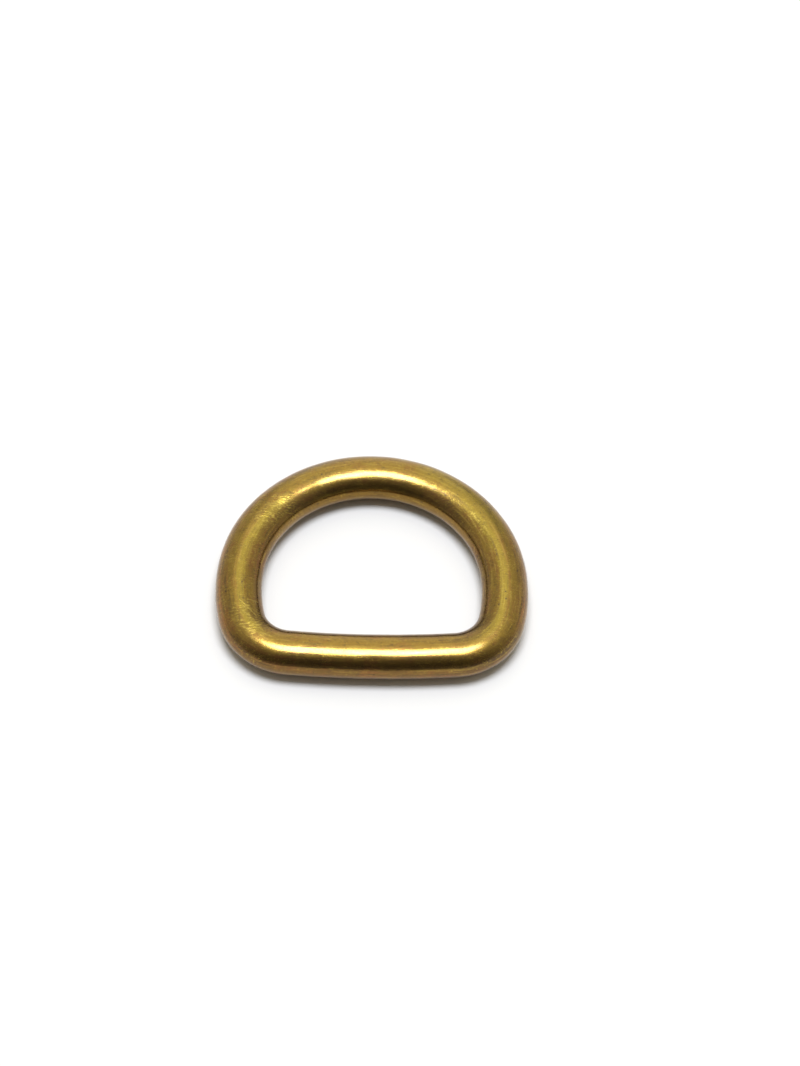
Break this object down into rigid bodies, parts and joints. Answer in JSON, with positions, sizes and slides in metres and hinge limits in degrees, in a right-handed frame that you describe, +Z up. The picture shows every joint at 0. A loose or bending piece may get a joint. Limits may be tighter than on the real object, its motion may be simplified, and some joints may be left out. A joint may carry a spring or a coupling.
{
  "type": "d ring",
  "caption": "Cast brass D ring: a slightly bowed bar that a strap folds around, tight lower corners and a round crown that takes the load.",
  "frame": {"origin": "on the surface that the ring lies on, under the centre of its outline", "axes": "+X along the bar and across the width of the strap, +Y from the bar towards the crown, +Z up off the surface, through the thickness of the wire"},
  "size_m": [0.0256, 0.0216, 0.0032],
  "materials": {
    "brass": "satin antique brass, lightly brushed, darker in the hollows and warmer towards the rims"
  },
  "bodies": {
    "root": {"d_ring": "brass"}
  },
  "joints": []
}
